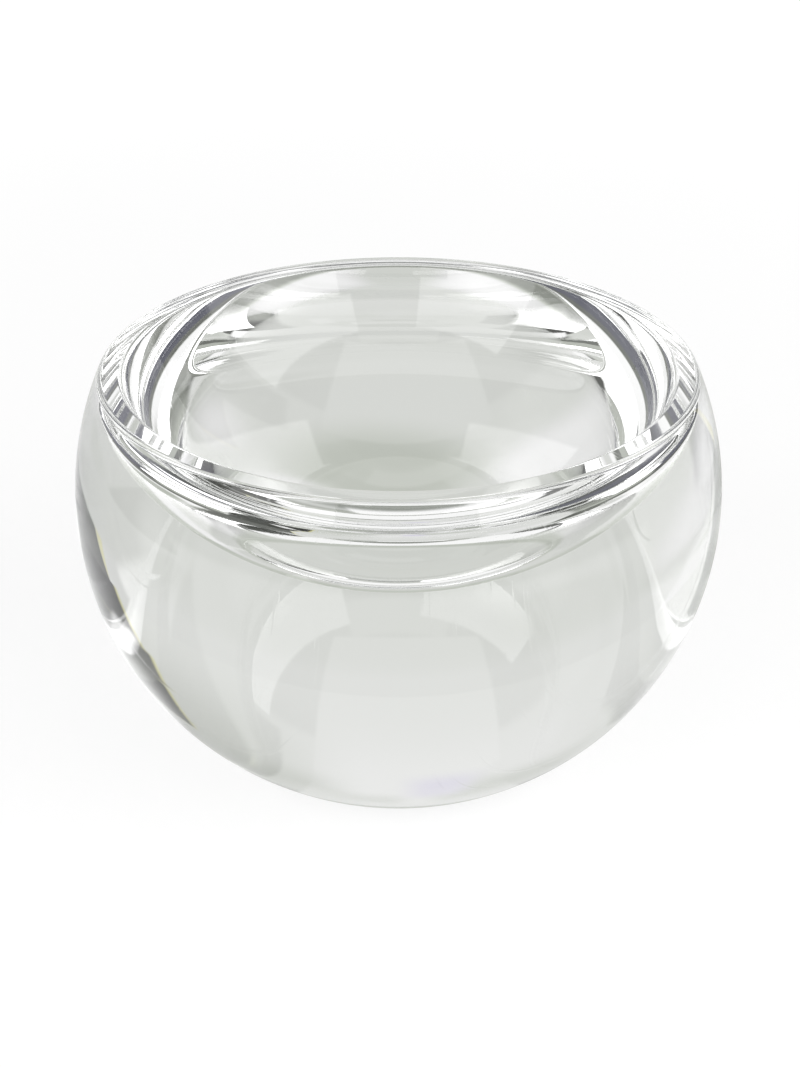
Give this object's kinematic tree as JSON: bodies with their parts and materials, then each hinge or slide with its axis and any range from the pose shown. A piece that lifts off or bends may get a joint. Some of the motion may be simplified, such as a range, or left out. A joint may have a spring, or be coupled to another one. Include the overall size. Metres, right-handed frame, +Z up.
{
  "type": "crystal bowl",
  "caption": "Heavy clear crystal bowl: a polished ball cut flat at the foot and the rim, with a shallow round hollow that holds small things or displays by itself.",
  "frame": {"origin": "middle of the flat foot, on the surface that the bowl stands on", "axes": "+Z up along the bowl's axis of revolution, +X and +Y in the plane of the foot with no preferred direction"},
  "size_m": [0.15, 0.15, 0.0938],
  "materials": {
    "crystal": "polished clear lead crystal, faintly green-grey in depth"
  },
  "bodies": {
    "root": {"crystal_bowl": "crystal"}
  },
  "joints": []
}
